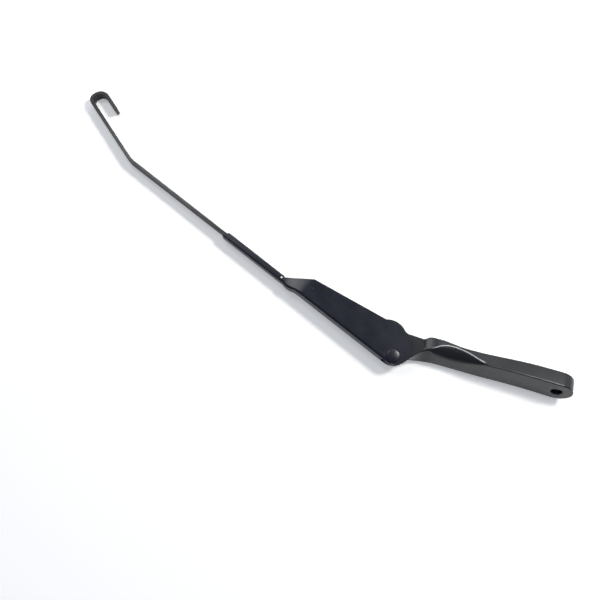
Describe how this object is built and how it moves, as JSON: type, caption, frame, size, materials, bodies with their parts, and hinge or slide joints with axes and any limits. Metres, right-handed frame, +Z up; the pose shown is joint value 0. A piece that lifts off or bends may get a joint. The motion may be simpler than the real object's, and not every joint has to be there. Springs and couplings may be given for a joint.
{
  "type": "wiper arm",
  "caption": "Windscreen wiper arm: cast head with a spindle bore, twisted neck and leaf facet, a sprung pressed channel on a rivet, and a crimped flat bar ending in a J hook.",
  "frame": {"origin": "middle of the straight spindle bore in the head", "axes": "+X along the head bar from the spindle towards the pivot, +Y to the arm's outer side, away from the windscreen, +Z up along the pivot rivet with the arm lying on its side"},
  "size_m": [0.4573, 0.1614, 0.0272],
  "materials": {
    "casting": "matte textured black coat on a casting",
    "paint": "satin black paint",
    "bush": "plain moulded",
    "pin": "ground steel",
    "spring_steel": "dark phosphated steel"
  },
  "bodies": {
    "head": {"arm_head": "casting", "bush_upper": "bush", "bush_lower": "bush", "heel_pin": "pin"},
    "arm": {"channel": "paint", "pivot_rivet": "paint", "anchor_pin": "paint", "hook_bar": "paint"},
    "link": {"spring_link": "spring_steel"},
    "spring": {"spring": "spring_steel"}
  },
  "joints": [
    {"name": "arm_lift", "type": "hinge", "parent": "head", "child": "arm", "pos_m": [0.1345, 0.012, -0.004], "axis": [0, 0, 1], "range_deg": [0, 90], "stiffness_Nm_per_rad": 0.4, "springref_deg": -68.75},
    {"name": "link_turn", "type": "hinge", "parent": "head", "child": "link", "pos_m": [0.12806, 0.00168, -0.004], "axis": [0, 0, 1], "range_deg": [0, 82]},
    {"name": "spring_turn", "type": "hinge", "parent": "arm", "child": "spring", "pos_m": [0.213, -0.02322, -0.004], "axis": [0, 0, 1], "range_deg": [-9, 0], "deforming": ["spring"]}
  ],
  "couplings": [
    {"joint": "link_turn", "follows": "arm_lift", "ratio": 0.902},
    {"joint": "spring_turn", "follows": "arm_lift", "ratio": -0.0975}
  ]
}
